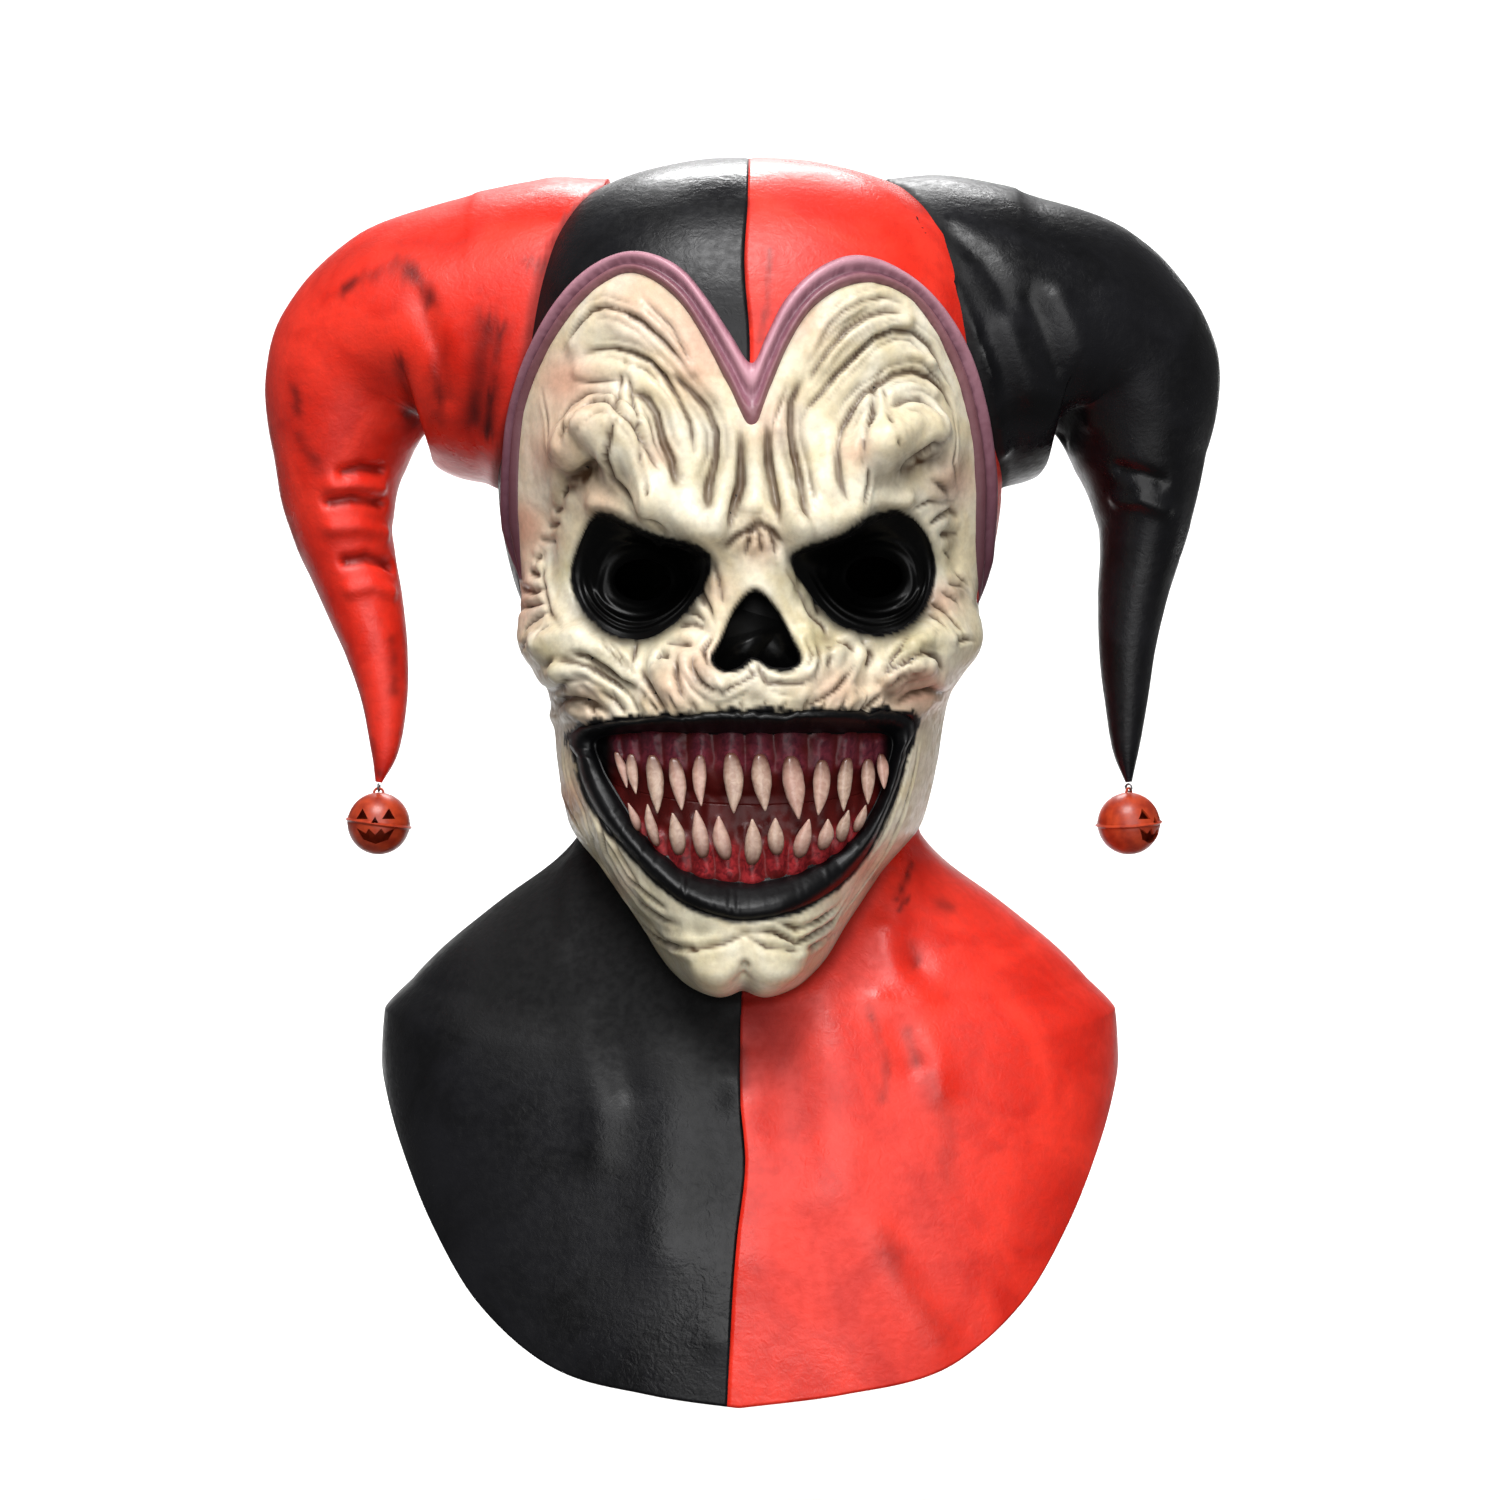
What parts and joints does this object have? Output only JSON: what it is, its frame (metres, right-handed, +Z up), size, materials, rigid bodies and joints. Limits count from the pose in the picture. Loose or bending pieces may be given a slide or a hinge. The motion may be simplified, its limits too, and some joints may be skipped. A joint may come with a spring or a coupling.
{
  "type": "jester mask",
  "caption": "Over-the-head latex jester mask: bone-coloured grinning skull face, heart-edged trim, black and red hood with drooping horns, pumpkin bells and a bib collar",
  "frame": {"origin": "the inside of the crown, where the mask sits on the head", "axes": "+X to the right of someone who looks at the face, +Z up, -Y the way the face looks"},
  "size_m": [0.3367, 0.2085, 0.4313],
  "materials": {
    "black_latex": "moulded latex painted black, soft satin",
    "red_latex": "moulded latex painted red with dark washes, satin",
    "bone_latex": "moulded latex painted bone with brown washes in the wrinkles",
    "purple_latex": "moulded latex painted dusky purple",
    "socket_latex": "moulded latex painted black, glossy",
    "lip_latex": "moulded latex painted black, semi-gloss",
    "dark_gum_latex": "moulded latex painted maroon, glossy",
    "red_gum_latex": "moulded latex painted gum red, glossy",
    "tooth_latex": "moulded latex painted ivory, glossy",
    "bell_enamel": "thin pressed steel bell, orange paint",
    "ring_wire": "bent steel wire"
  },
  "bodies": {
    "root": {"cowl_black": "black_latex", "cowl_red": "red_latex", "face": "bone_latex", "face_trim": "purple_latex", "eye_socket_left": "socket_latex", "eye_socket_right": "socket_latex", "nose_cavity": "socket_latex", "lips": "lip_latex", "gum_upper": "dark_gum_latex", "gum_lower": "red_gum_latex", "horn_red": "red_latex", "horn_black": "black_latex", "bell_left": "bell_enamel", "bell_right": "bell_enamel", "bell_ring_left": "ring_wire", "bell_ring_right": "ring_wire", "tooth_upper_01": "tooth_latex", "tooth_upper_02": "tooth_latex", "tooth_upper_03": "tooth_latex", "tooth_upper_04": "tooth_latex", "tooth_upper_05": "tooth_latex", "tooth_upper_06": "tooth_latex", "tooth_upper_07": "tooth_latex", "tooth_upper_08": "tooth_latex", "tooth_upper_09": "tooth_latex", "tooth_upper_10": "tooth_latex", "tooth_upper_11": "tooth_latex", "tooth_upper_12": "tooth_latex", "tooth_lower_01": "tooth_latex", "tooth_lower_02": "tooth_latex", "tooth_lower_03": "tooth_latex", "tooth_lower_04": "tooth_latex", "tooth_lower_05": "tooth_latex", "tooth_lower_06": "tooth_latex", "tooth_lower_07": "tooth_latex", "tooth_lower_08": "tooth_latex", "tooth_lower_09": "tooth_latex", "tooth_lower_10": "tooth_latex", "tooth_lower_11": "tooth_latex"}
  },
  "joints": []
}
